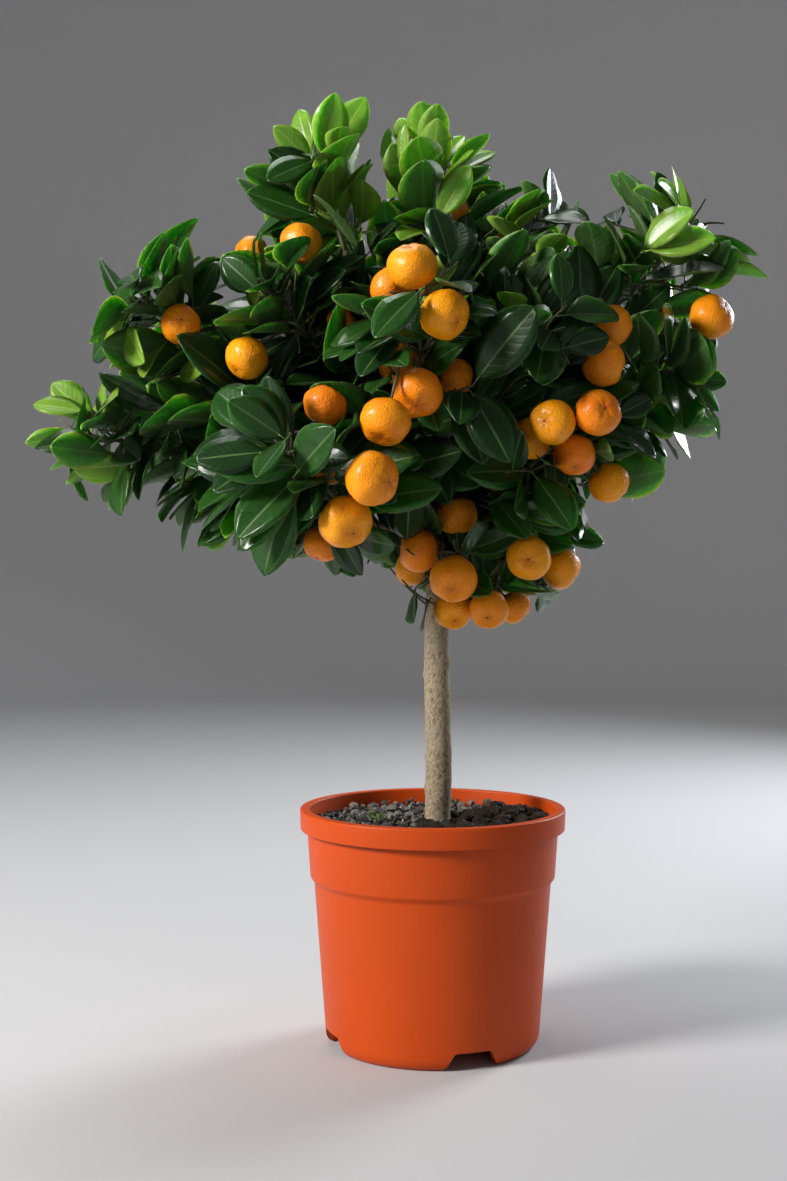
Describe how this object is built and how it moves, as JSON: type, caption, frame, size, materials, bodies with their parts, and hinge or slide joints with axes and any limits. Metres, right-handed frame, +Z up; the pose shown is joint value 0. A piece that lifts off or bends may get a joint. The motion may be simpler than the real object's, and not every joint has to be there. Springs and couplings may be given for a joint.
{
  "type": "potted calamondin orange tree",
  "caption": "Small citrus tree with glossy leaves and orange fruit on a clear stem, standing in a round plastic nursery pot.",
  "frame": {"origin": "centre of the flat underside of the pot, on the floor", "axes": "+Z up along the trunk, -Y towards the front that the picture shows, +X to the right seen from the front"},
  "size_m": [0.5025, 0.3945, 0.6576],
  "materials": {
    "pot_plastic": "moulded terracotta-orange polypropylene with a soft sheen",
    "soil": "dark moist potting compost",
    "top_dressing": "grey-brown gravel and loose compost",
    "bark": "dull tan-grey bark with fine fissures",
    "foliage": "glossy dark green leaves with orange fruit"
  },
  "bodies": {
    "root": {"pot": "pot_plastic", "soil": "soil", "top_dressing": "top_dressing", "trunk": "bark", "left_upper_bough": "bark", "right_top_bough": "bark", "top_left_bough": "bark", "top_centre_bough": "bark", "front_left_bough": "bark", "front_right_bough": "bark", "back_centre_bough": "bark", "front_centre_bough": "bark", "low_front_bough": "bark", "low_right_bough": "bark", "back_low_bough": "bark", "left_tip_bough": "bark", "left_under_bough": "bark", "upper_left_bough": "bark", "back_upper_left_bough": "bark", "back_left_bough": "bark", "back_top_bough": "bark", "top_right_bough": "bark", "right_side_bough": "bark", "back_right_bough": "bark", "right_low_bough": "bark", "left_upper_foliage": "foliage", "right_top_foliage": "foliage", "top_left_foliage": "foliage", "top_centre_foliage": "foliage", "front_left_foliage": "foliage", "front_right_foliage": "foliage", "back_centre_foliage": "foliage", "front_centre_foliage": "foliage", "low_front_foliage": "foliage", "low_right_foliage": "foliage", "back_low_foliage": "foliage", "left_tip_foliage": "foliage", "left_under_foliage": "foliage", "upper_left_foliage": "foliage", "back_upper_left_foliage": "foliage", "back_left_foliage": "foliage", "back_top_foliage": "foliage", "top_right_foliage": "foliage", "right_side_foliage": "foliage", "back_right_foliage": "foliage", "right_low_foliage": "foliage"}
  },
  "joints": []
}
